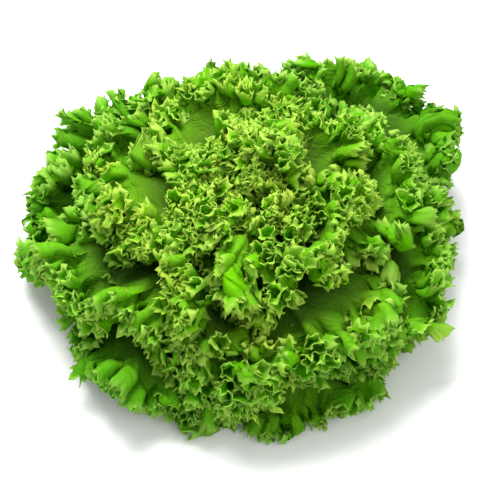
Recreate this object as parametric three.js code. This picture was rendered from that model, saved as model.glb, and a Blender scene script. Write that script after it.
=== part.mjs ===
// Coral lettuce: a whole loose-leaf head with its roots cut off, standing on the cut face
// of its stem. Millimetres, +Z up, origin at the centre of the cut face.
// The leaves sit on the stem in a spiral, from the upright heart leaves inside to the
// spreading outer leaves. Each leaf is a thin curved solid of the leaf's size and place.
import * as THREE from "three";

// the whole head
const leafCount = 30; // counted from the middle; the first has not opened and is left out
const divergence = 137.508; // turn from each leaf to the next, degrees
const lastAzimuth = 10; // direction of the outermost leaf, degrees from -Y towards +X
const hubHeight = 13; // the leaves fan out from this point on the stem's axis
const hubRadius = 22.5; // the leaf bases start this far from the hub

// tilt is measured at the hub, from the vertical axis, in degrees
const baseTilt = { heart: 8, outer: 74 };
const rimTilt = { heart: 15, outer: 102 };
const rimTiltPower = 0.9;
const bendLength = 155; // distance over which a leaf bends from base tilt to rim tilt
const uprightBack = 0.08; // how much steeper the leaves at the back stand

// leaf outline, as parts of the leaf's length
const leafLength = { heart: 44, outer: 130, power: 0.52 };
const halfWidth = 0.56;
const middle = 0.53;
const lobe = 0.47;
const lobeAngle = THREE.MathUtils.degToRad(142);
const halfBase = { heart: 7, outer: 14 };
const spreadLimit = THREE.MathUtils.degToRad(66);
const lengthWander = 0.04;
// lengths of the visible outer leaves beside the rule, by leaf number
const lengthFactor = {
  17: 0.98, 18: 0.99, 19: 0.99, 20: 0.96, 21: 0.83, 22: 1.24, 23: 1.03, 24: 0.8, 25: 0.86,
  26: 0.88, 27: 0.86, 28: 0.96, 29: 0.76,
};
// and leaves that have turned away from their place in the spiral, degrees
const turnedBy = { 22: 8, 23: -15, 26: 1, 27: -5, 29: 15 };
const narrowed = { 22: 0.88 }; // and one that is narrower for its length

// slow swells of every layer round the head: [turns, degrees, phase, length per radian]
const swells = [
  [3, 4, 0.6, Infinity],
  [5, 3, 2.1, Infinity],
  [7, 2, -0.4, 40],
];
const ownSwell = 1.2; // a leaf's own swell, degrees

// where neighbouring leaves stand apart: azimuth and tilt of the hollow, its half width
// round the head, its reach across the leaves and its opening, all in degrees
const hollows = [
  { azimuth: -100, tilt: 40, width: 24, reach: 27, opening: 21 },
  { azimuth: 118, tilt: 34, width: 32, reach: 26, opening: 21 },
  { azimuth: -150, tilt: 44, width: 20, reach: 24, opening: 18 },
  { azimuth: 69, tilt: 52, width: 20, reach: 22, opening: 18 },
  { azimuth: -8, tilt: 40, width: 22, reach: 22, opening: 17 },
  { azimuth: -42, tilt: 60, width: 22, reach: 18, opening: 12 },
];
const hollowEdge = 3;
const hollowDepth = 72; // distance from the leaf bases over which a hollow opens

// the whole head is a little uneven: slow waves through space that shift every leaf alike.
// direction of travel, wavelength in mm, shift in mm and phase
const sways = [
  { along: [1, 0.3, 0], wave: 105, shift: [0, 3.5, 3], phase: 0.4 },
  { along: [-0.4, 1, 0.3], wave: 98, shift: [3.5, 0, -3], phase: 2 },
  { along: [0.2, 0.5, 1], wave: 88, shift: [3, -3, 0], phase: 4.1 },
  { along: [0.8, -0.7, 0], wave: 76, shift: [0, 0, 3.5], phase: 1.1 },
];
const swayStart = 30; // distance from the hub where the unevenness begins, and where it is full
const swayFull = 90;

// solid leaves
const thickness = 1.2;
const floorGap = 1.3; // lowest the middle of a leaf comes to the surface
const floorSoftness = 2;
const columns = 16;
const rows = [0, 0.28, 0.55, 0.8, 1];

// stem: radius and height of each step of its turned profile
const stemProfile = [
  [0, 0], [15.5, 0], [16.5, 1], [19.5, 8], [20.8, 14], [19.2, 21], [13.5, 28.5], [6, 32.6], [0, 33.6],
];
const stemSides = 28;

const rings = [
  { name: "heart_leaf", from: 1, colour: 0xa9c94a },
  { name: "inner_leaf", from: 6, colour: 0x8fbe38 },
  { name: "middle_leaf", from: 14, colour: 0x74a92c },
  { name: "outer_leaf", from: 22, colour: 0x5c9422 },
];

const { degToRad, radToDeg, lerp, euclideanModulo } = THREE.MathUtils;

function smooth(t) {
  const c = Math.min(1, Math.max(0, t));
  return c * c * (3 - 2 * c);
}

function leafPlan(index) {
  const age = (index + 0.5) / leafCount;
  const grown = lerp(leafLength.heart, leafLength.outer, age ** leafLength.power);
  const factor = lengthFactor[index] ?? 1 + lengthWander * Math.sin(2.4 * index);
  return {
    index,
    length: grown * factor,
    halfWidth: halfWidth * (narrowed[index] ?? 1) * grown * factor,
    azimuth: degToRad(lastAzimuth + divergence * (index - leafCount + 1) + (turnedBy[index] ?? 0)),
    baseTilt: lerp(baseTilt.heart, baseTilt.outer, age),
    rimTilt: lerp(rimTilt.heart, rimTilt.outer, age ** rimTiltPower),
    halfBase: lerp(halfBase.heart, halfBase.outer, age),
  };
}

// tilt of a leaf at a distance from the hub and a direction round it, in degrees
function tiltAt(leaf, distance, azimuth) {
  const bend = smooth((distance - hubRadius) / bendLength);
  let tilt = leaf.baseTilt + (leaf.rimTilt - leaf.baseTilt) * bend;
  for (const [turns, size, phase, run] of swells) {
    tilt += bend * size * Math.sin(turns * azimuth + phase + distance / run);
  }
  const across = azimuth - leaf.azimuth;
  tilt += bend * ownSwell * Math.sin(1.7 * leaf.index + 5.2 * across);
  const open = smooth((distance - hubRadius) / hollowDepth);
  for (const hollow of hollows) {
    const side = euclideanModulo(radToDeg(azimuth) - hollow.azimuth + 180, 360) - 180;
    const off = tilt - hollow.tilt;
    const near = Math.exp(-((side / hollow.width) ** 2)) * Math.exp(-Math.abs(off) / hollow.reach);
    tilt += open * hollow.opening * Math.tanh(off / hollowEdge) * near;
  }
  return tilt * (1 - uprightBack * (1 - Math.cos(azimuth)) * bend);
}

// a point of the leaf's middle surface: across runs -1..1, along runs 0 at the base to 1 at the rim
function leafPoint(leaf, across, along) {
  const angle = across * lobeAngle;
  const x = lerp(leaf.halfBase * across, leaf.halfWidth * Math.sin(angle), along);
  const y = lerp(0, (middle + lobe * Math.cos(angle)) * leaf.length, along) + hubRadius;
  const distance = Math.hypot(x, y);
  const meanTilt = degToRad((leaf.baseTilt + leaf.rimTilt) / 2);
  const widest = Math.atan2(leaf.halfWidth, middle * leaf.length + hubRadius);
  const wrap = Math.min(1 / Math.sin(meanTilt), spreadLimit / widest);
  const azimuth = leaf.azimuth + Math.atan2(x, y) * wrap;
  const tilt = degToRad(tiltAt(leaf, distance, azimuth));
  const radius = distance * Math.sin(tilt);
  const point = new THREE.Vector3(
    radius * Math.sin(azimuth),
    -radius * Math.cos(azimuth),
    hubHeight + distance * Math.cos(tilt),
  );
  return raised(swayed(point, distance));
}

function swayed(point, distance) {
  const amount = smooth((distance - swayStart) / (swayFull - swayStart));
  const moved = point.clone();
  for (const { along, wave, shift, phase } of sways) {
    const turn = (2 * Math.PI * new THREE.Vector3(...along).dot(point)) / wave + phase;
    moved.addScaledVector(new THREE.Vector3(...shift), amount * Math.sin(turn));
  }
  return moved;
}

// a point that would come below the surface ends up just above it
function raised(point) {
  const height = point.z - floorGap;
  point.z = floorGap + (height + Math.hypot(height, floorSoftness)) / 2;
  return point;
}

// outward direction of the leaf's upper face, from points a small step apart
function leafNormal(leaf, across, along) {
  const step = 0.01;
  const right = leafPoint(leaf, across + step, along).sub(leafPoint(leaf, across - step, along));
  const ahead = leafPoint(leaf, across, along + step).sub(leafPoint(leaf, across, along - step));
  return right.cross(ahead).normalize();
}

// a closed body from quads given as corner numbers
function solid(points, quads) {
  const geometry = new THREE.BufferGeometry();
  geometry.setAttribute("position", new THREE.Float32BufferAttribute(points.flatMap((p) => p.toArray()), 3));
  geometry.setIndex(quads.flatMap(([a, b, c, d]) => [a, b, c, a, c, d]));
  geometry.computeVertexNormals();
  return geometry;
}

function leafGeometry(leaf) {
  const upper = [];
  const lower = [];
  for (const along of rows) {
    for (let column = 0; column <= columns; column += 1) {
      const across = (2 * column) / columns - 1;
      const point = leafPoint(leaf, across, along);
      const offset = leafNormal(leaf, across, along).multiplyScalar(thickness / 2);
      upper.push(point.clone().add(offset));
      lower.push(point.clone().sub(offset));
    }
  }
  const wide = columns + 1;
  const under = upper.length;
  const quads = [];
  const at = (row, column) => row * wide + column;
  for (let row = 0; row + 1 < rows.length; row += 1) {
    for (let column = 0; column < columns; column += 1) {
      const [a, b] = [at(row, column), at(row, column + 1)];
      const [c, d] = [at(row + 1, column + 1), at(row + 1, column)];
      quads.push([a, b, c, d], [under + a, under + d, under + c, under + b]);
    }
  }
  // the leaf's edge, once round
  const edge = [];
  for (let column = 0; column < columns; column += 1) edge.push(at(0, column));
  for (let row = 0; row + 1 < rows.length; row += 1) edge.push(at(row, columns));
  for (let column = columns; column > 0; column -= 1) edge.push(at(rows.length - 1, column));
  for (let row = rows.length - 1; row > 0; row -= 1) edge.push(at(row, 0));
  edge.forEach((from, n) => {
    const to = edge[(n + 1) % edge.length];
    quads.push([from, under + from, under + to, to]);
  });
  return solid([...upper, ...lower], quads);
}

function stemGeometry() {
  const profile = stemProfile.map(([radius, height]) => new THREE.Vector2(radius, height));
  const turned = new THREE.LatheGeometry(profile, stemSides);
  return turned.rotateX(Math.PI / 2);
}

function named(name, geometry, colour, roughness) {
  const material = new THREE.MeshStandardMaterial({ color: colour, roughness, metalness: 0 });
  const mesh = new THREE.Mesh(geometry, material);
  mesh.name = name;
  return mesh;
}

const head = new THREE.Group();
head.add(named("core", stemGeometry(), 0xd9dcae, 0.6));

for (const [order, ring] of rings.entries()) {
  const end = rings[order + 1]?.from ?? leafCount;
  const group = new THREE.Group();
  for (let index = ring.from; index < end; index += 1) {
    const geometry = leafGeometry(leafPlan(index));
    group.add(named(`${ring.name}_${index - ring.from + 1}`, geometry, ring.colour, 0.45));
  }
  head.add(group);
}

export default head;
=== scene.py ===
# Coral lettuce: a whole frilled head standing on its cut stem.
import math
import bpy
import numpy as np
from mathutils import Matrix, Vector


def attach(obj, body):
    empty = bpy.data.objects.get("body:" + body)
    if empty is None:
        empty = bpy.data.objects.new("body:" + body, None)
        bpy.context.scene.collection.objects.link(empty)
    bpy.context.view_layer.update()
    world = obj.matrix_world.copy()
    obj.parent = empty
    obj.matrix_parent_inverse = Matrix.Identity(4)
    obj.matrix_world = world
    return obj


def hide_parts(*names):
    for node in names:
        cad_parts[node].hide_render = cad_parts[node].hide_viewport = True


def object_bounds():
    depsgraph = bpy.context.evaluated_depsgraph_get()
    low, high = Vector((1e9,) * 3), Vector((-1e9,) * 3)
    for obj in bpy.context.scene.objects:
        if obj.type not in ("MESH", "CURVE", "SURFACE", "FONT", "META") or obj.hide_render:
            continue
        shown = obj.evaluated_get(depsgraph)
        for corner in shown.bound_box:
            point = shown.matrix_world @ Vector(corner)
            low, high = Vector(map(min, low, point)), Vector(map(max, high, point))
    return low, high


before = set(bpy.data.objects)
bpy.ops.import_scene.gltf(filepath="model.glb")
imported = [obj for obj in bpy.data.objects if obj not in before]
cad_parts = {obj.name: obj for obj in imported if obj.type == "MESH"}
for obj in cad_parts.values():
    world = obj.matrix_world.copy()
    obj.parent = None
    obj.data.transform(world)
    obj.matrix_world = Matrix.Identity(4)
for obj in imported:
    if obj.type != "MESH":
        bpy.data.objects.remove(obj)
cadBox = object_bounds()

metre = 0.001  # shapes are worked out in millimetres
fullTurn = 2 * math.pi

# how the leaves sit on the stem, the same as in the frame
head = {
    "leaves": 30,
    "divergence": 137.508,     # degrees from each leaf to the next
    "lastAzimuth": 10,         # the outermost leaf, from -Y towards +X
    "hubHeight": 13,
    "hubRadius": 22.5,
    "baseTilt": (8, 74),       # heart leaf, outer leaf
    "rimTilt": (15, 102),
    "rimTiltPower": 0.9,
    "bendLength": 155,
    "uprightBack": 0.08,
    "length": (44, 130),
    "lengthPower": 0.52,
    "lengthWander": 0.04,
    "lengthFactor": {17: 0.98, 18: 0.99, 19: 0.99, 20: 0.96, 21: 0.83, 22: 1.24, 23: 1.03,
                     24: 0.8, 25: 0.86, 26: 0.88, 27: 0.86, 28: 0.96, 29: 0.76},
    "turnedBy": {22: 8, 23: -15, 26: 1, 27: -5, 29: 15},
    "narrowed": {22: 0.88},
    "halfBase": (7, 14),
    "halfWidth": 0.56,
    "middle": 0.53,
    "lobe": 0.47,
    "lobeAngle": math.radians(142),
    "spreadLimit": math.radians(66),
    # turns round the head, degrees, phase, millimetres of distance for each radian
    "swells": [(3, 4, 0.6, math.inf), (5, 3, 2.1, math.inf), (7, 2, -0.4, 40)],
    "ownSwell": 1.2,
    # azimuth, tilt, half width, reach and opening in degrees
    "hollows": [(-100, 40, 24, 27, 21), (118, 34, 32, 26, 21), (-150, 44, 20, 24, 18),
                (69, 52, 20, 22, 18), (-8, 40, 22, 22, 17), (-42, 60, 22, 18, 12)],
    "hollowEdge": 3,
    "hollowDepth": 72,
    # slow waves that shift every leaf alike: heading, wavelength, shift in mm and phase
    "sways": [((1, 0.3, 0), 105, (0, 3.5, 3), 0.4), ((-0.4, 1, 0.3), 98, (3.5, 0, -3), 2),
              ((0.2, 0.5, 1), 88, (3, -3, 0), 4.1), ((0.8, -0.7, 0), 76, (0, 0, 3.5), 1.1)],
    "swayStart": 30,
    "swayFull": 90,
}

# the first leaf of each ring; leaf 0, the innermost, has not opened and is left out
rings = {"heart_leaf": 1, "inner_leaf": 6, "middle_leaf": 14, "outer_leaf": 22}


def smoothStep(low, high, value):
    t = np.clip((value - low) / (high - low), 0, 1)
    return t * t * (3 - 2 * t)


def mix(low, high, amount):
    return low + (high - low) * amount


def leafPlan(index):
    age = (index + 0.5) / head["leaves"]
    grown = mix(*head["length"], age ** head["lengthPower"])
    uneven = 1 + head["lengthWander"] * math.sin(2.4 * index)
    length = grown * head["lengthFactor"].get(index, uneven)
    ring = max((first, name) for name, first in rings.items() if first <= index)[1]
    return {
        "index": index,
        "node": f"{ring}_{index - rings[ring] + 1}",
        "ring": ring,
        "age": age,
        "length": length,
        "halfWidth": head["halfWidth"] * head["narrowed"].get(index, 1) * length,
        "azimuth": math.radians(head["lastAzimuth"] + head["divergence"] * (index - head["leaves"] + 1)
                                + head["turnedBy"].get(index, 0)),
        "baseTilt": mix(*head["baseTilt"], age),
        "rimTilt": mix(*head["rimTilt"], age ** head["rimTiltPower"]),
        "halfBase": mix(*head["halfBase"], age),
        "columns": round(mesh["columnsPerLength"] * length),
    }


def tiltAt(leaf, distance, azimuth):
    bend = smoothStep(0, 1, (distance - head["hubRadius"]) / head["bendLength"])
    tilt = leaf["baseTilt"] + (leaf["rimTilt"] - leaf["baseTilt"]) * bend
    for turns, size, phase, run in head["swells"]:
        tilt = tilt + bend * size * np.sin(turns * azimuth + phase + distance / run)
    across = azimuth - leaf["azimuth"]
    tilt = tilt + bend * head["ownSwell"] * np.sin(1.7 * leaf["index"] + 5.2 * across)
    opened = smoothStep(0, head["hollowDepth"], distance - head["hubRadius"])
    for place, middle, width, reach, opening in head["hollows"]:
        side = (np.degrees(azimuth) - place + 180) % 360 - 180
        off = tilt - middle
        near = np.exp(-(side / width) ** 2) * np.exp(-np.abs(off) / reach)
        tilt = tilt + opened * opening * np.tanh(off / head["hollowEdge"]) * near
    return tilt * (1 - head["uprightBack"] * (1 - np.cos(azimuth)) * bend)


# a smooth blade: rows from the stem (along = 0) to the rim (along = 1)
def bladeSurface(leaf, across, along):
    length = leaf["length"]
    angle = across * head["lobeAngle"]
    rimX = leaf["halfWidth"] * np.sin(angle)
    rimY = (head["middle"] + head["lobe"] * np.cos(angle)) * length
    baseX = leaf["halfBase"] * across
    along = along[:, None]
    x = mix(baseX[None, :], rimX[None, :], along)
    y = rimY[None, :] * along
    toRim = (1 - along) * np.hypot(rimX - baseX, rimY)[None, :]
    distance = np.hypot(x, y + head["hubRadius"])
    meanTilt = math.radians((leaf["baseTilt"] + leaf["rimTilt"]) / 2)
    widest = math.atan2(leaf["halfWidth"], head["middle"] * length + head["hubRadius"])
    wrap = min(1 / math.sin(meanTilt), head["spreadLimit"] / widest)
    azimuth = leaf["azimuth"] + np.arctan2(x, y + head["hubRadius"]) * wrap
    tilt = np.radians(tiltAt(leaf, distance, azimuth))
    radius = distance * np.sin(tilt)
    height = head["hubHeight"] + distance * np.cos(tilt)
    points = np.stack([radius * np.sin(azimuth), -radius * np.cos(azimuth), height], axis=2)
    amount = smoothStep(head["swayStart"], head["swayFull"], distance)
    moved = points.copy()
    for heading, wave, shift, phase in head["sways"]:
        turn = fullTurn * (points @ np.array(heading)) / wave + phase
        moved += (amount * np.sin(turn))[:, :, None] * np.array(shift)
    return {"points": moved, "x": x, "y": y, "toRim": toRim}


# unit vectors along the rim, outwards in the blade and up from the blade
def surfaceFrame(points):
    rimward = np.gradient(points, axis=0)
    sideways = np.gradient(points, axis=1)
    sideways /= np.linalg.norm(sideways, axis=2, keepdims=True) + 1e-9
    up = np.cross(sideways, rimward)
    up /= np.linalg.norm(up, axis=2, keepdims=True) + 1e-9
    return sideways, np.cross(up, sideways), up


def rimLength(points):
    steps = np.linalg.norm(np.diff(points[-1], axis=0), axis=1)
    return np.concatenate([[0], np.cumsum(steps)])


# a smooth wandering value along the rim, mostly within -1..1
def wander(rng, run, scale, terms=4):
    total = np.zeros_like(run)
    for _ in range(terms):
        total += np.sin(fullTurn * run / (scale * rng.uniform(0.6, 1.9)) + rng.uniform(0, fullTurn))
    return 0.9 * total / math.sqrt(terms)


# spread the columns evenly along the rim as it is now
def evenColumns(sheet):
    run = rimLength(sheet["points"])
    columns = len(run)
    even = np.interp(np.linspace(0, run[-1], columns), run, np.arange(columns))
    left = np.clip(even.astype(int), 0, columns - 2)
    part = even - left
    for key, value in sheet.items():
        if value.ndim == 3:
            share = part[None, :, None]
            sheet[key] = value[:, left] * (1 - share) + value[:, left + 1] * share
        else:
            sheet[key] = value[..., left] * (1 - part) + value[..., left + 1] * part
    return np.linspace(0, run[-1], columns)


# the frills, from wide folds to fine curls, in millimetres on a full-grown leaf
frill = {
    "folds": {"wave": 32, "height": 10, "reach": 33, "power": 1.7,
              "curl": 0.3, "lean": 0.15, "drift": 3.0},
    "loops": {"wave": 13.5, "height": 6.8, "reach": 17, "power": 1.2,
              "curl": 0.4, "lean": 0.2, "drift": 2.4},
    "curls": {"wave": 6.2, "height": 1.0, "reach": 8, "power": 0.9,
              "curl": 0.2, "lean": 0.1, "drift": 2.0},
    "unevenHeight": 0.5,
    "heightLimits": (0.15, 1.8),
    "unevenReach": 0.3,
    "reachLimits": (0.5, 1.6),
    "unevenWave": 2.1,
    # how slowly each of these changes along the rim, in waves
    "waveSpread": 3,
    "driftSpread": 2.2,
    "heightSpread": 1.9,
    "reachSpread": 1.5,
    "baySpacing": 32,          # the leaf's outline wanders in and out
    "bayDepth": 2.6,
    "bayReach": 34,
    "bayTerms": 3,
    "calmBase": 0.11,          # part of the rim beside the stem where the frills fade out
    "fullLength": 130,         # a leaf this long has frills of the sizes above
    "smallestSize": 0.62,
    "grown": (0.8, 1.4),       # the frills reach further in on older leaves
    "seed": 100,
    "baySeed": 500,
}


# slow bays in the outline, before the frills
def cutBays(sheet, rng):
    run = rimLength(sheet["points"])
    _, rimward, _ = surfaceFrame(sheet["points"])
    bay = frill["bayDepth"] * wander(rng, run, frill["baySpacing"], frill["bayTerms"])
    near = np.clip(1 - sheet["toRim"] / frill["bayReach"], 0, 1) * sheet["edge"]
    sheet["points"] = sheet["points"] + rimward * (near * bay)[:, :, None]


# one level of the frill: the rim waves up and down, more the nearer it is to the edge
def ruffle(sheet, rng, level, size, grown):
    run = evenColumns(sheet)
    sideways, rimward, up = surfaceFrame(sheet["points"])
    wave = level["wave"] * size
    phase = fullTurn * run / wave + frill["unevenWave"] * wander(rng, run, frill["waveSpread"] * wave)
    drift = level["drift"] * wander(rng, run, frill["driftSpread"] * wave)
    taller = 1 + frill["unevenHeight"] * wander(rng, run, frill["heightSpread"] * wave)
    height = level["height"] * size * np.clip(taller, *frill["heightLimits"])
    deeper = 1 + frill["unevenReach"] * wander(rng, run, frill["reachSpread"] * wave)
    reach = level["reach"] * grown * np.clip(deeper, *frill["reachLimits"])
    near = np.clip(1 - sheet["toRim"] / reach, 0, 1)
    rise = height * sheet["edge"] * near ** level["power"]
    turn = phase + drift * (1 - near)
    sheet["points"] = (
        sheet["points"]
        + up * (rise * np.sin(turn))[:, :, None]
        - sideways * (rise * level["curl"] * np.sin(2 * turn))[:, :, None]
        + rimward * (rise * level["lean"] * np.cos(2 * turn + 1))[:, :, None]
    )


# the rim is cut into lobes, and each lobe into pointed teeth of four columns of the
# finest rows: tip, flank, notch, flank
teeth = {
    "columns": 4,
    "profile": (1, 0.16, 0, 0.16),
    "depth": 3.2,
    "length": (0.35, 1.4),     # shortest and longest tooth, as parts of the depth
    "part": 0.0125,            # how far the teeth reach in, as part of the leaf
    "bend": 0.4,
    "skew": 0.35,
    "lobeSpacing": 8.0,
    "lobeDepth": 4.2,
    "lobeReach": 9,
    "lobeBend": 1.0,
    "lobeUneven": 0.8,         # how unevenly the lobes follow each other
    "lobeSize": (0.8, 0.5),    # usual size of a lobe and how much it varies
    "lobeLimits": (0.1, 1.5),
    "lobeRoundness": 0.7,
    "lobePower": 1.3,
    # how slowly the order, size and bend of the lobes change along the rim, in lobes
    "orderSpread": 3,
    "sizeSpread": 2.3,
    "bendSpread": 1.2,
}


def cutTeeth(sheet, rng, size, part):
    run = evenColumns(sheet)
    sideways, rimward, up = surfaceFrame(sheet["points"])
    spacing = teeth["lobeSpacing"]
    uneven = teeth["lobeUneven"] * wander(rng, run, teeth["orderSpread"] * spacing)
    lobeTurn = run / (spacing * size) + uneven
    usual, varied = teeth["lobeSize"]
    lobeSize = usual + varied * wander(rng, run, teeth["sizeSpread"] * spacing)
    lobeSize = np.clip(lobeSize, *teeth["lobeLimits"])
    lobe = teeth["lobeDepth"] * size * lobeSize
    lobe = lobe * np.abs(np.sin(math.pi * lobeTurn)) ** teeth["lobeRoundness"]
    lobeBend = teeth["lobeBend"] * size * wander(rng, run, teeth["bendSpread"] * spacing)
    wide = np.clip(1 - sheet["toRim"] / teeth["lobeReach"], 0, 1) ** teeth["lobePower"] * sheet["edge"]
    column = np.arange(len(run))
    tooth = (column + 2) // teeth["columns"]
    point = np.array(teeth["profile"])[column % teeth["columns"]]
    long = rng.uniform(*teeth["length"], tooth[-1] + 1)[tooth]
    bent = rng.uniform(-1, 1, tooth[-1] + 1)[tooth] * teeth["bend"]
    skewed = rng.uniform(-1, 1, tooth[-1] + 1)[tooth] * teeth["skew"]
    fine = np.clip(1 - part / teeth["part"], 0, 1)[:, None] * (point * sheet["edge"])[None, :] * size
    sheet["points"] = (
        sheet["points"]
        + rimward * (fine * teeth["depth"] * long + wide * lobe)[:, :, None]
        + up * (fine * bent + wide * lobeBend)[:, :, None]
        + sideways * (fine * skewed)[:, :, None]
    )


# rows by their distance from the rim as part of the leaf, and how much finer than the first
# rows they are: the mesh doubles its columns towards the rim, where the frills are finest
mesh = {
    "rows": [(1, (1.045, 1, 0.85, 0.7, 0.57, 0.46, 0.37)), (2, (0.30, 0.24, 0.19)),
             (4, (0.15, 0.118, 0.092)), (8, (0.070, 0.053, 0.040)),
             (16, (0.029, 0.020, 0.0125)), (32, (0.0062,)), (64, (0,))],
    "columnsPerLength": 0.43,
}

blade = {
    "thickness": 0.5,
    "rimThickness": 0.34,
    "thinWithin": 30,
    "ribHeight": 4.5,
    "ribWidth": (1.5, 5.5),
    "ribEnd": 0.85,
    "ribGrowth": 0.3,
    "ribTaper": 1.2,
    "blister": 1.3,
    "blisterSize": 21,
    "pucker": 2.0,             # smaller swellings towards the rim
    "puckerSize": 14,
    "puckerReach": 52,
    "blisterStart": (10, 45),  # distances from the stem over which the swellings begin
    "puckerStart": (6, 30),
    "lowest": 0.6,             # the middle of a leaf comes no lower than this
    "lowestSkin": 0.3,         # and its lower face no lower than this
    "softness": 2,
    "standProud": 8,           # frills that stand further than this past the frame
    "drawnIn": 0.5,            # are drawn in by this part of the rest
}


# a soft random field over the blade, from sine waves in many directions
def blisters(rng, x, y, size):
    field = np.zeros_like(x)
    for _ in range(9):
        heading = rng.uniform(0, fullTurn)
        length = size * rng.uniform(0.7, 1.6)
        travel = x * math.cos(heading) + y * math.sin(heading)
        field += np.sin(fullTurn * travel / length + rng.uniform(0, fullTurn))
    return field / 3


# the middle surface of a leaf with all its frills, kept off the table and near the frame
def frilledSheet(leaf):
    rng = np.random.default_rng(frill["seed"] + leaf["index"])
    fromRim = np.array([part for _, parts in mesh["rows"] for part in parts])
    most = mesh["rows"][-1][0] * leaf["columns"]
    across = np.linspace(-1, 1, most + 1)
    sheet = bladeSurface(leaf, across, 1 - fromRim)
    sheet["edge"] = smoothStep(0, frill["calmBase"], 1 - np.abs(across))
    _, _, up = surfaceFrame(sheet["points"])
    swell = blade["blister"] * blisters(rng, sheet["x"], sheet["y"], blade["blisterSize"])
    swell = swell * smoothStep(*blade["blisterStart"], sheet["y"])
    close = np.clip(1 - sheet["toRim"] / blade["puckerReach"], 0, 1)
    close = close * smoothStep(*blade["puckerStart"], sheet["y"])
    swell += blade["pucker"] * close * blisters(rng, sheet["x"], sheet["y"], blade["puckerSize"])
    sheet["points"] = sheet["points"] + up * swell[:, :, None]
    small = leaf["length"] / frill["fullLength"]
    size = mix(frill["smallestSize"], 1, np.clip(1.6 * small - 0.6, 0, 1))
    grown = mix(*frill["grown"], leaf["age"] ** 2) * small ** 0.5
    cutBays(sheet, np.random.default_rng(frill["baySeed"] + leaf["index"]))
    for name in ("folds", "loops", "curls"):
        ruffle(sheet, rng, frill[name], size, grown)
    cutTeeth(sheet, rng, size, fromRim)
    points = sheet["points"]
    low = points[:, :, 2] - blade["lowest"]
    points[:, :, 2] = blade["lowest"] + 0.5 * (low + np.hypot(low, blade["softness"]))
    lowest, highest = (np.array(corner) / metre for corner in cadBox)
    proud, drawnIn = blade["standProud"], blade["drawnIn"]
    points -= drawnIn * np.maximum(points - highest - proud, 0)
    points[:, :, :2] += drawnIn * np.maximum(lowest - proud - points, 0)[:, :, :2]
    return sheet


# triangles of a sheet whose rows hold these numbers of points, each row equal to
# or twice as fine as the one before
def stitchRows(counts):
    starts = np.concatenate([[0], np.cumsum(counts)])
    triangles = []
    for row in range(len(counts) - 1):
        near, far = starts[row], starts[row + 1]
        j = np.arange(counts[row] - 1)
        if counts[row] == counts[row + 1]:
            triangles.append(np.stack([near + j, near + j + 1, far + j + 1], 1))
            triangles.append(np.stack([near + j, far + j + 1, far + j], 1))
        else:
            triangles.append(np.stack([near + j, far + 2 * j + 1, far + 2 * j], 1))
            triangles.append(np.stack([near + j, near + j + 1, far + 2 * j + 1], 1))
            triangles.append(np.stack([near + j + 1, far + 2 * j + 2, far + 2 * j + 1], 1))
    return np.concatenate(triangles), starts


def newMesh(name, points, triangles, values, material):
    data = bpy.data.meshes.new(name)
    data.vertices.add(len(points))
    data.loops.add(3 * len(triangles))
    data.polygons.add(len(triangles))
    data.vertices.foreach_set("co", (points * metre).astype(np.float32).ravel())
    data.loops.foreach_set("vertex_index", triangles.astype(np.int32).ravel())
    data.polygons.foreach_set("loop_start", np.arange(0, 3 * len(triangles), 3, dtype=np.int32))
    data.polygons.foreach_set("loop_total", np.full(len(triangles), 3, dtype=np.int32))
    data.update(calc_edges=True)
    data.polygons.foreach_set("use_smooth", np.ones(len(triangles), dtype=bool))
    for key, value in values.items():
        layer = data.attributes.new(key, "FLOAT", "POINT")
        layer.data.foreach_set("value", value.astype(np.float32))
    piece = bpy.data.objects.new(name, data)
    bpy.context.scene.collection.objects.link(piece)
    data.materials.append(material)
    return piece


# a closed leaf: the sheet given a thickness, with its midrib standing out below
def makeLeaf(leaf, material):
    sheet = frilledSheet(leaf)
    points, x, y, toRim = (sheet[key] for key in ("points", "x", "y", "toRim"))
    _, _, up = surfaceFrame(points)
    thick = smoothStep(0, blade["thinWithin"], toRim)
    half = mix(blade["rimThickness"], blade["thickness"], thick) / 2
    taper = np.clip(1 - y / (blade["ribEnd"] * leaf["length"]), 0, 1)
    width = mix(*blade["ribWidth"], taper)
    rib = blade["ribHeight"] * leaf["age"] ** blade["ribGrowth"] * taper ** blade["ribTaper"]
    rib = rib * np.exp(-(x / width) ** 2)
    upper, lower, kept, counts = [], [], [], []
    most = mesh["rows"][-1][0] * leaf["columns"]
    row = 0
    for finer, parts in mesh["rows"]:
        columns = finer * leaf["columns"]
        step = most // columns
        for _ in parts:
            pick = slice(None, None, step)
            upper.append(points[row, pick] + up[row, pick] * half[row, pick, None])
            lower.append(points[row, pick] - up[row, pick] * (half + rib)[row, pick, None])
            kept.append(np.stack([x[row, pick], y[row, pick], toRim[row, pick]], 1))
            counts.append(columns + 1)
            row += 1
    triangles, starts = stitchRows(counts)
    top, bottom = np.concatenate(upper), np.concatenate(lower)
    bottom[:, 2] = np.maximum(bottom[:, 2], blade["lowestSkin"])
    under = len(top)
    firsts, lasts = starts[:-1], starts[1:] - 1
    border = np.concatenate([np.arange(firsts[0], lasts[0]), lasts[:-1],
                             np.arange(firsts[-1] + 1, lasts[-1] + 1)[::-1], firsts[:0:-1]])
    onward = np.roll(border, -1)
    faces = np.concatenate([
        triangles,
        triangles[:, ::-1] + under,
        np.stack([border, border + under, onward + under], 1),
        np.stack([border, onward + under, onward], 1),
    ])
    place = np.concatenate(kept + kept)
    values = {"bladeX": place[:, 0], "bladeY": place[:, 1], "fromRim": place[:, 2]}
    values["underside"] = np.concatenate([np.zeros(under), np.ones(under)])
    piece = newMesh(leaf["node"] + "_frilled", np.concatenate([top, bottom]), faces, values, material)
    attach(piece, "root")
    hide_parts(leaf["node"])
    return piece


# shader helpers
def addNode(tree, kind, label, **values):
    node = tree.nodes.new(kind)
    node.label = label
    for key, value in values.items():
        setattr(node, key, value)
    return node


def join(tree, source, target):
    tree.links.new(source, target)


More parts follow.
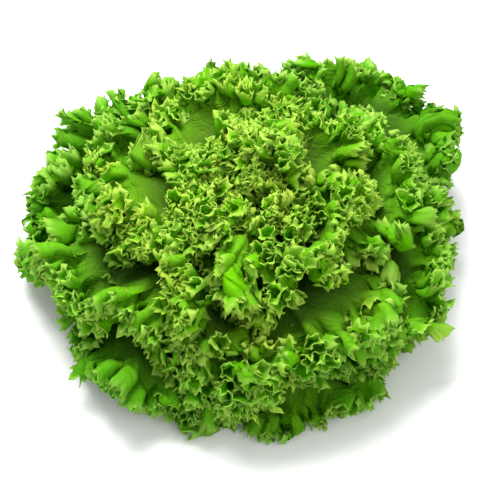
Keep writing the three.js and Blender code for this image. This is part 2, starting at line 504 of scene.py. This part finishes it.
def startMaterial(name):
    material = bpy.data.materials.new(name)
    material.use_nodes = True
    material.node_tree.nodes.clear()
    return material, material.node_tree


def maths(tree, operation, first, second=None, third=None, clamp=False):
    node = tree.nodes.new("ShaderNodeMath")
    node.operation = operation
    node.use_clamp = clamp
    for socket, value in zip(node.inputs, (first, second, third)):
        if value is None:
            continue
        if isinstance(value, (int, float)):
            socket.default_value = value
        else:
            join(tree, value, socket)
    return node.outputs[0]


def times(tree, first, second, clamp=False):
    return maths(tree, "MULTIPLY", first, second, clamp=clamp)


def plus(tree, first, second):
    return maths(tree, "ADD", first, second)


def oneMinus(tree, value):
    return maths(tree, "SUBTRACT", 1.0, value)


def blend(tree, amount, first, second, mode="MIX"):
    node = tree.nodes.new("ShaderNodeMix")
    node.data_type = "RGBA"
    node.blend_type = mode
    for socket, value in zip((node.inputs[0], node.inputs[6], node.inputs[7]), (amount, first, second)):
        if isinstance(value, (int, float, tuple)):
            socket.default_value = value
        else:
            join(tree, value, socket)
    return node.outputs[2]


def attribute(tree, name):
    return addNode(tree, "ShaderNodeAttribute", name, attribute_name=name).outputs["Fac"]


def noise(tree, place, scale, detail=3, roughness=0.5):
    node = tree.nodes.new("ShaderNodeTexNoise")
    join(tree, place, node.inputs["Vector"])
    node.inputs["Scale"].default_value = scale
    node.inputs["Detail"].default_value = detail
    node.inputs["Roughness"].default_value = roughness
    return node.outputs["Fac"]


def ramp(tree, value, low, high):
    node = tree.nodes.new("ShaderNodeMapRange")
    node.interpolation_type = "SMOOTHSTEP"
    join(tree, value, node.inputs["Value"])
    node.inputs["From Min"].default_value = low
    node.inputs["From Max"].default_value = high
    return node.outputs["Result"]


# veins in the leaf's own flat outline, in millimetres
vein = {
    "wobbleScale": 0.045,
    "fanPower": 0.88,          # how the side veins bend away from the midrib
    "fanSlope": 1.15,
    "sideSpacing": 8.5,
    "sideWobble": 3.4,
    "sideWidth": (0.02, 0.13),
    "fineSpacing": 2.9,
    "fineWobble": 9.0,
    "fineWidth": (0.03, 0.22),
    "fineShare": 0.45,
    "ribWidth": (0.8, 3.6),
    "netScale": 0.42,
    "netWidth": 0.16,
}


# the midrib, side veins that fan out from it and a fine net between them; 1 on a vein
# and 0 between
def veinGroup():
    group = bpy.data.node_groups.new("leafVeins", "ShaderNodeTree")
    for name, kind in (("veins", "Float"), ("midrib", "Float"), ("net", "Float"), ("flat place", "Vector")):
        group.interface.new_socket(name, in_out="OUTPUT", socket_type="NodeSocket" + kind)
    out = addNode(group, "NodeGroupOutput", "out")
    x = attribute(group, "bladeX")
    y = attribute(group, "bladeY")
    place = addNode(group, "ShaderNodeCombineXYZ", "flat place")
    join(group, x, place.inputs[0])
    join(group, y, place.inputs[1])
    flat = place.outputs[0]
    wobble = maths(group, "SUBTRACT", noise(group, flat, vein["wobbleScale"], 2), 0.5)
    # side veins leave the midrib at a slant and fan out towards the rim
    reach = maths(group, "ABSOLUTE", x)
    fan = times(group, maths(group, "POWER", plus(group, reach, 1.0), vein["fanPower"]), vein["fanSlope"])
    slant = maths(group, "SUBTRACT", y, fan)
    order = plus(group, maths(group, "DIVIDE", slant, vein["sideSpacing"]),
                 times(group, wobble, vein["sideWobble"]))
    saw = maths(group, "ABSOLUTE", maths(group, "SUBTRACT", maths(group, "FRACT", order), 0.5))
    side = oneMinus(group, ramp(group, saw, *vein["sideWidth"]))
    fine = plus(group, maths(group, "DIVIDE", slant, vein["fineSpacing"]),
                times(group, wobble, vein["fineWobble"]))
    fineSaw = maths(group, "ABSOLUTE", maths(group, "SUBTRACT", maths(group, "FRACT", fine), 0.5))
    fineVein = times(group, oneMinus(group, ramp(group, fineSaw, *vein["fineWidth"])), vein["fineShare"])
    rib = oneMinus(group, ramp(group, reach, *vein["ribWidth"]))
    cells = addNode(group, "ShaderNodeTexVoronoi", "net", feature="DISTANCE_TO_EDGE")
    join(group, flat, cells.inputs["Vector"])
    cells.inputs["Scale"].default_value = vein["netScale"]
    net = oneMinus(group, ramp(group, cells.outputs["Distance"], 0.0, vein["netWidth"]))
    join(group, maths(group, "MAXIMUM", side, fineVein), out.inputs["veins"])
    join(group, rib, out.inputs["midrib"])
    join(group, net, out.inputs["net"])
    join(group, flat, out.inputs["flat place"])
    return group


# the look of a leaf, from the blade with painted shade away from its rim to the thin bright rim; reaches
# are distances from the rim in millimetres
leafLook = {
    "blade": (0.092, 0.275, 0.002, 1),
    "frill": (0.140, 0.475, 0.001, 1),
    "frillReach": (10, 46),
    # painted shade: the blade deep in the hollows, away from its rim, is coloured darker as if in shade
    "shadedBladeColour": (0.030, 0.140, 0.002, 1),
    "shadeReach": (8, 34),
    "shadeShare": 0.92,
    "shadeLoss": 0.62,          # painted shade: how much darker the blade is away from its rim
    "rim": (0.470, 0.700, 0.110, 1),
    "rimReach": 1.4,
    "rimShare": 0.95,
    "veinColour": (0.24, 0.53, 0.03, 1),
    "veinReach": (2, 30),
    "veinShare": 0.26,
    "netShare": 0.10,
    "ribColour": (0.50, 0.64, 0.22, 1),
    "ribReach": (12, 75),
    "ribShare": 0.85,
    "foot": (4, 34),           # distances from the stem over which the pale foot ends
    "footShare": 0.8,
    "undersideColour": (0.18, 0.38, 0.03, 1),
    "undersideShare": 0.3,
    "patchScale": 38,
    "patchReach": 14.0,        # how far patches shift the border of blade and frill
    "patchTone": (0.72, 0.56),
    "fleckScale": 0.9,
    "fleckTone": (0.86, 0.28),
    "yellowed": (1.38, 1.06, 0.9, 1),
    "yellowScale": 24,
    "yellowFrom": (0.48, 0.72),
    "yellowShare": 0.7,
    "yellowLost": 0.8,         # how much of it is lost on the deep blade
    "veinBump": 0.5,
    "ribBump": 0.6,
    "puckerScale": 0.28,
    "bumpStrength": 0.75,
    "bumpDistance": 0.0018,
    "roughness": (0.42, 0.68),
    "specular": 0.07,
    "coat": 0.01,
    "coatRoughness": 0.22,
    "through": (0.30, 0.94, 0.002, 1),
    "throughTint": 0.55,
    "throughShare": 0.40,      # light that comes through at the rim
    "throughLost": 0.36,       # and how much less on the deep blade
    "ringTint": {"heart_leaf": (1.25, 1.10, 1.0, 1), "inner_leaf": (1.15, 1.06, 1.0, 1),
                 "middle_leaf": (0.98, 1.0, 1.0, 1), "outer_leaf": (0.80, 0.90, 0.9, 1)},
}


def leafMaterial(ring, veins):
    look = leafLook
    material, tree = startMaterial(ring + "Surface")
    lines = addNode(tree, "ShaderNodeGroup", "veins", node_tree=veins).outputs
    fromRim = attribute(tree, "fromRim")
    below = attribute(tree, "underside")
    flat = lines["flat place"]
    position = addNode(tree, "ShaderNodeTexCoord", "place").outputs["Object"]
    patch = noise(tree, position, look["patchScale"], 4, 0.55)
    fleck = noise(tree, flat, look["fleckScale"], 5, 0.6)
    # blade to frill to rim
    shifted = plus(tree, fromRim, times(tree, patch, look["patchReach"]))
    near = oneMinus(tree, ramp(tree, shifted, *look["frillReach"]))
    colour = blend(tree, near, look["blade"], look["frill"])
    # painted shade: the blade away from its rim is darkened as if shaded inside the hollows
    shadeMask = times(tree, ramp(tree, fromRim, *look["shadeReach"]), look["shadeShare"])
    colour = blend(tree, shadeMask, colour, look["shadedBladeColour"])
    edge = oneMinus(tree, ramp(tree, fromRim, 0.0, look["rimReach"]))
    colour = blend(tree, times(tree, edge, look["rimShare"]), colour, look["rim"])
    # veins and midrib, paler than the blade and lost in the frill
    veinFade = times(tree, ramp(tree, fromRim, *look["veinReach"]), look["veinShare"])
    colour = blend(tree, times(tree, lines["veins"], veinFade), colour, look["veinColour"])
    colour = blend(tree, times(tree, lines["net"], look["netShare"]), colour, look["veinColour"])
    ribFade = times(tree, ramp(tree, fromRim, *look["ribReach"]), look["ribShare"])
    colour = blend(tree, times(tree, lines["midrib"], ribFade), colour, look["ribColour"])
    # the foot of the leaf is pale
    foot = oneMinus(tree, ramp(tree, attribute(tree, "bladeY"), *look["foot"]))
    colour = blend(tree, times(tree, foot, look["footShare"]), colour, look["ribColour"])
    colour = blend(tree, times(tree, below, look["undersideShare"]), colour, look["undersideColour"])
    # uneven growth and small flecks, with painted shade making the blade darker away from the rim
    lowTone, toneRange = look["patchTone"]
    tone = plus(tree, lowTone, times(tree, patch, toneRange))
    lowFleck, fleckRange = look["fleckTone"]
    tone = times(tree, tone, plus(tree, lowFleck, times(tree, fleck, fleckRange)))
    tone = times(tree, tone, maths(tree, "MULTIPLY_ADD", shadeMask, -look["shadeLoss"], 1.0))
    grey = addNode(tree, "ShaderNodeCombineColor", "tone")
    for socket in grey.inputs[:3]:
        join(tree, tone, socket)
    colour = blend(tree, 1.0, colour, grey.outputs[0], "MULTIPLY")
    colour = blend(tree, 1.0, colour, look["ringTint"][ring], "MULTIPLY")
    # yellowed patches, fewer on the deep blade
    older = ramp(tree, noise(tree, position, look["yellowScale"], 3, 0.6), *look["yellowFrom"])
    kept = maths(tree, "SUBTRACT", look["yellowShare"], times(tree, shadeMask, look["yellowLost"]))
    older = times(tree, older, kept, clamp=True)
    colour = blend(tree, older, colour, blend(tree, 1.0, colour, look["yellowed"], "MULTIPLY"))
    # raised veins and puckered skin
    height = times(tree, lines["veins"], look["veinBump"])
    height = maths(tree, "SUBTRACT", height, times(tree, lines["midrib"], look["ribBump"]))
    skin = plus(tree, fleck, noise(tree, flat, look["puckerScale"], 3))
    bump = addNode(tree, "ShaderNodeBump", "skin")
    bump.inputs["Strength"].default_value = look["bumpStrength"]
    bump.inputs["Distance"].default_value = look["bumpDistance"]
    join(tree, maths(tree, "SUBTRACT", skin, height), bump.inputs["Height"])
    shader = addNode(tree, "ShaderNodeBsdfPrincipled", "skin")
    join(tree, colour, shader.inputs["Base Color"])
    smoothest, roughest = look["roughness"]
    join(tree, plus(tree, smoothest, times(tree, fleck, roughest - smoothest)), shader.inputs["Roughness"])
    join(tree, bump.outputs["Normal"], shader.inputs["Normal"])
    shader.inputs["Specular IOR Level"].default_value = look["specular"]
    shader.inputs["Coat Weight"].default_value = look["coat"]
    shader.inputs["Coat Roughness"].default_value = look["coatRoughness"]
    # a leaf lets light through, most where it is thin
    through = addNode(tree, "ShaderNodeBsdfTranslucent", "light through the leaf")
    join(tree, blend(tree, look["throughTint"], colour, look["through"]), through.inputs["Color"])
    join(tree, bump.outputs["Normal"], through.inputs["Normal"])
    both = addNode(tree, "ShaderNodeMixShader", "skin and light through")
    share = maths(tree, "MULTIPLY_ADD", shadeMask, -look["throughLost"], look["throughShare"])
    join(tree, share, both.inputs[0])
    join(tree, shader.outputs[0], both.inputs[1])
    join(tree, through.outputs[0], both.inputs[2])
    out = addNode(tree, "ShaderNodeOutputMaterial", "out")
    join(tree, both.outputs[0], out.inputs["Surface"])
    return material


# the short stem, turned from its side outline and scarred where old leaves were
stem = {
    "outline": [(0, 0), (7, 0.4), (13, 0.15), (15.4, 0), (16.4, 0.9), (17.6, 3), (19.3, 7.5),
                (20.7, 13.5), (19.2, 21), (13.5, 28.5), (6, 32.6), (0, 33.6)],
    "sides": 96,
    "steps": 56,
    "scar": 0.8,
    "extraScars": 6,           # leaves that have been pulled off
    "scarHeights": (5, 14),    # the lowest scar and the height they climb
    "scarSize": (1.1, 0.5),    # half height in mm and half width in radians
    "flesh": (0.62, 0.68, 0.36, 1),
    "cut": (0.58, 0.50, 0.27, 1),
    "browned": (0.30, 0.15, 0.05, 1),
    "grainScale": 260,
    "grainShare": 0.35,
    "patchScale": 70,
    "patchFrom": (0.45, 0.75),
    "patchShare": 0.5,
    # the cut face by height and its brown rind by radius, in metres
    "cutHeights": (0.0008, 0.0022),
    "rindRadii": (0.0135, 0.018),
    "rindUneven": 0.004,
    "rindShare": 0.85,
    "roughness": (0.42, 0.3),  # lowest, and how much the grain adds
    "bumpStrength": 0.5,
    "bumpDistance": 0.0006,
}


def makeStem(material):
    outline = np.array(stem["outline"], dtype=float)
    run = np.concatenate([[0], np.cumsum(np.linalg.norm(np.diff(outline, axis=0), axis=1))])
    steps = np.linspace(0, run[-1], stem["steps"])[1:-1]
    radius = np.interp(steps, run, outline[:, 0])
    height = np.interp(steps, run, outline[:, 1])
    angle = np.linspace(0, fullTurn, stem["sides"], endpoint=False)
    scar = np.zeros((len(steps), len(angle)))
    scars = head["leaves"] + stem["extraScars"]
    lowest, climb = stem["scarHeights"]
    tall, broad = stem["scarSize"]
    for leaf in range(scars):
        middle = math.radians(head["lastAzimuth"] + head["divergence"] * leaf)
        level = lowest + climb * leaf / scars
        side = (angle - middle + math.pi) % fullTurn - math.pi
        scar += np.exp(-((height[:, None] - level) / tall) ** 2 - (side[None, :] / broad) ** 2)
    wide = radius[:, None] - stem["scar"] * np.clip(scar, 0, 1) * smoothStep(1.5, 5, height)[:, None]
    levels = np.broadcast_to(height[:, None], wide.shape)
    skin = np.stack([wide * np.sin(angle), -wide * np.cos(angle), levels], 2).reshape(-1, 3)
    points = np.concatenate([[[0, 0, outline[0, 1]]], skin, [[0, 0, outline[-1, 1]]]])
    sides, last = stem["sides"], len(points) - 1
    j = np.arange(sides)
    after = (j + 1) % sides
    faces = [np.stack([np.zeros(sides, int), 1 + after, 1 + j], 1)]
    for step in range(len(steps) - 1):
        low, high = 1 + step * sides, 1 + (step + 1) * sides
        faces.append(np.stack([low + j, low + after, high + after], 1))
        faces.append(np.stack([low + j, high + after, high + j], 1))
    top = last - sides
    faces.append(np.stack([top + j, top + after, np.full(sides, last)], 1))
    piece = newMesh("core_cut_stem", points, np.concatenate(faces), {}, material)
    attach(piece, "root")
    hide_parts("core")
    return piece


def stemMaterial():
    material, tree = startMaterial("stemFlesh")
    position = addNode(tree, "ShaderNodeTexCoord", "place").outputs["Object"]
    parts = addNode(tree, "ShaderNodeSeparateXYZ", "height")
    join(tree, position, parts.inputs[0])
    grain = noise(tree, position, stem["grainScale"], 5, 0.6)
    patches = noise(tree, position, stem["patchScale"], 3)
    across, depth, height = parts.outputs
    radius = maths(tree, "SQRT", plus(tree, times(tree, across, across), times(tree, depth, depth)))
    # the cut face dries brown, first round its rim
    atCut = oneMinus(tree, ramp(tree, height, *stem["cutHeights"]))
    uneven = plus(tree, radius, times(tree, patches, stem["rindUneven"]))
    rind = ramp(tree, uneven, *stem["rindRadii"])
    cut = blend(tree, times(tree, rind, stem["rindShare"]), stem["cut"], stem["browned"])
    spots = times(tree, ramp(tree, patches, *stem["patchFrom"]), stem["patchShare"])
    cut = blend(tree, spots, cut, stem["browned"])
    side = blend(tree, times(tree, grain, stem["grainShare"]), stem["flesh"], stem["cut"])
    colour = blend(tree, atCut, side, cut)
    bump = addNode(tree, "ShaderNodeBump", "fibres")
    bump.inputs["Strength"].default_value = stem["bumpStrength"]
    bump.inputs["Distance"].default_value = stem["bumpDistance"]
    join(tree, grain, bump.inputs["Height"])
    shader = addNode(tree, "ShaderNodeBsdfPrincipled", "flesh")
    join(tree, colour, shader.inputs["Base Color"])
    lowRough, roughRange = stem["roughness"]
    join(tree, plus(tree, lowRough, times(tree, grain, roughRange)), shader.inputs["Roughness"])
    join(tree, bump.outputs["Normal"], shader.inputs["Normal"])
    out = addNode(tree, "ShaderNodeOutputMaterial", "out")
    join(tree, shader.outputs[0], out.inputs["Surface"])
    return material


# the table, lights and camera
studio = {
    "floorSize": 12,
    "floorColour": (0.92, 0.92, 0.92, 1),
    "floorSpecular": 0.1,
    "floorRoughness": (0.75, 0.1),  # lowest, and how much the grain adds
    "floorGrain": 30,
    "skyColour": (1, 1, 1, 1),
    "skyStrength": 0.72,
    "lights": [
        {"name": "softKey", "place": (-0.25, 0.5, 1.3), "size": 0.8, "power": 36},
        {"name": "softFill", "place": (0.8, -0.9, 1.0), "size": 1.0, "power": 6},
    ],
    "lightTarget": (0, 0, 0.05),
    "elevation": 52,
    "distance": 1.25,
    "target": (-0.003, 0, 0.045),
    "lens": 145,
    "sensorWidth": 36,
}


def pointAt(thing, target):
    thing.rotation_euler = (Vector(target) - thing.location).to_track_quat("-Z", "Y").to_euler()


def setStudio():
    material, tree = startMaterial("paleFloor")
    position = addNode(tree, "ShaderNodeTexCoord", "place").outputs["Object"]
    grain = noise(tree, position, studio["floorGrain"], 2)
    shader = addNode(tree, "ShaderNodeBsdfPrincipled", "floor")
    shader.inputs["Base Color"].default_value = studio["floorColour"]
    shader.inputs["Specular IOR Level"].default_value = studio["floorSpecular"]
    lowRough, roughRange = studio["floorRoughness"]
    join(tree, plus(tree, lowRough, times(tree, grain, roughRange)), shader.inputs["Roughness"])
    out = addNode(tree, "ShaderNodeOutputMaterial", "out")
    join(tree, shader.outputs[0], out.inputs["Surface"])
    half = studio["floorSize"] / 2
    data = bpy.data.meshes.new("floor")
    corners = [(-half, -half, 0), (half, -half, 0), (half, half, 0), (-half, half, 0)]
    data.from_pydata(corners, [], [(0, 1, 2, 3)])
    floor = bpy.data.objects.new("floor", data)
    bpy.context.scene.collection.objects.link(floor)
    data.materials.append(material)

    world = bpy.data.worlds.new("paleRoom")
    bpy.context.scene.world = world
    world.use_nodes = True
    sky = world.node_tree.nodes["Background"]
    sky.inputs[0].default_value = studio["skyColour"]
    sky.inputs[1].default_value = studio["skyStrength"]

    for light in studio["lights"]:
        lamp = bpy.data.lights.new(light["name"], "AREA")
        lamp.size = light["size"]
        lamp.energy = light["power"]
        holder = bpy.data.objects.new(light["name"], lamp)
        bpy.context.scene.collection.objects.link(holder)
        holder.location = light["place"]
        pointAt(holder, studio["lightTarget"])

    lens = bpy.data.cameras.new("camera")
    lens.lens = studio["lens"]
    lens.sensor_width = studio["sensorWidth"]
    camera = bpy.data.objects.new("camera", lens)
    bpy.context.scene.collection.objects.link(camera)
    rise = math.radians(studio["elevation"])
    outward = Vector((0, -math.cos(rise), math.sin(rise)))
    camera.location = Vector(studio["target"]) + studio["distance"] * outward
    pointAt(camera, studio["target"])
    bpy.context.scene.camera = camera
    bpy.context.scene.view_settings.view_transform = "Standard"


setStudio()
print("studio ready")

makeStem(stemMaterial())
print("stem ready")

veins = veinGroup()
materials = {ring: leafMaterial(ring, veins) for ring in rings}
triangleCount = 0
for number in range(rings["heart_leaf"], head["leaves"]):
    leaf = leafPlan(number)
    piece = makeLeaf(leaf, materials[leaf["ring"]])
    triangleCount += len(piece.data.polygons)
print("leaves ready:", head["leaves"], "with", triangleCount, "triangles")
